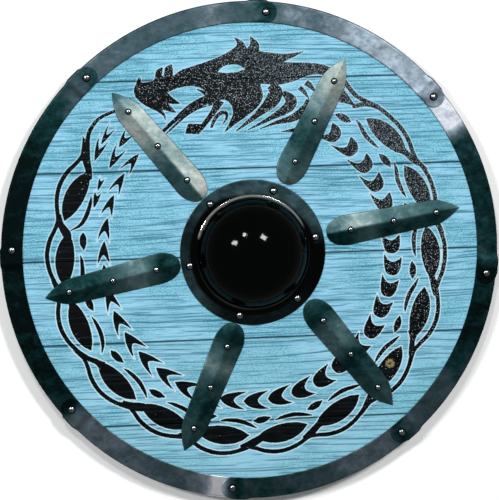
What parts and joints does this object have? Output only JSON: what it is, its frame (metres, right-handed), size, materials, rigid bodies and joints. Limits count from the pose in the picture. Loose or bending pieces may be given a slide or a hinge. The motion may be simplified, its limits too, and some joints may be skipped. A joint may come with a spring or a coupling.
{
  "type": "wooden round shield",
  "caption": "Round plank shield lying face up: painted ring serpent, riveted steel rim and spear-shaped blades, a domed boss over the hand hole, and a grip bar and battens behind.",
  "frame": {"origin": "under the middle of the shield, on the surface it lies on", "axes": "+Z out of the painted face, +Y towards the top of the painted design, +X to its right, along the planks"},
  "size_m": [0.6122, 0.6124, 0.0806],
  "materials": {
    "painted_wood": "brushed pine stained sky blue with dark grain, and a black painted ring serpent",
    "bare_wood": "planed pine, oiled",
    "rim_steel": "mild steel with a mottled dark heat patina, satin",
    "blade_steel": "mild steel with a mottled grey and dark patina, satin",
    "boss_enamel": "black gloss enamel on the dome, satin on the flange",
    "rivet_iron": "polished black iron"
  },
  "bodies": {
    "root": {"plank_1": "painted_wood", "plank_2": "painted_wood", "plank_3": "painted_wood", "plank_4": "painted_wood", "plank_5": "painted_wood", "plank_6": "painted_wood", "rim_strip_1": "rim_steel", "rim_strip_2": "rim_steel", "rim_strip_3": "rim_steel", "rim_strip_4": "rim_steel", "rim_strip_5": "rim_steel", "rim_strip_6": "rim_steel", "rim_strip_7": "rim_steel", "rim_strip_8": "rim_steel", "rim_rivet_1": "rivet_iron", "rim_rivet_2": "rivet_iron", "rim_rivet_3": "rivet_iron", "rim_rivet_4": "rivet_iron", "rim_rivet_5": "rivet_iron", "rim_rivet_6": "rivet_iron", "rim_rivet_7": "rivet_iron", "rim_rivet_8": "rivet_iron", "boss": "boss_enamel", "boss_rivet_1": "rivet_iron", "boss_rivet_2": "rivet_iron", "boss_rivet_3": "rivet_iron", "boss_rivet_4": "rivet_iron", "boss_rivet_5": "rivet_iron", "boss_rivet_6": "rivet_iron", "blade_1": "blade_steel", "blade_2": "blade_steel", "blade_3": "blade_steel", "blade_4": "blade_steel", "blade_5": "blade_steel", "blade_6": "blade_steel", "blade_1_rivet_1": "rivet_iron", "blade_1_rivet_2": "rivet_iron", "blade_1_rivet_3": "rivet_iron", "blade_2_rivet_1": "rivet_iron", "blade_2_rivet_2": "rivet_iron", "blade_2_rivet_3": "rivet_iron", "blade_3_rivet_1": "rivet_iron", "blade_3_rivet_2": "rivet_iron", "blade_3_rivet_3": "rivet_iron", "blade_4_rivet_1": "rivet_iron", "blade_4_rivet_2": "rivet_iron", "blade_4_rivet_3": "rivet_iron", "blade_5_rivet_1": "rivet_iron", "blade_5_rivet_2": "rivet_iron", "blade_5_rivet_3": "rivet_iron", "blade_6_rivet_1": "rivet_iron", "blade_6_rivet_2": "rivet_iron", "blade_6_rivet_3": "rivet_iron", "grip_bar": "bare_wood", "batten_left": "bare_wood", "batten_right": "bare_wood"}
  },
  "joints": []
}
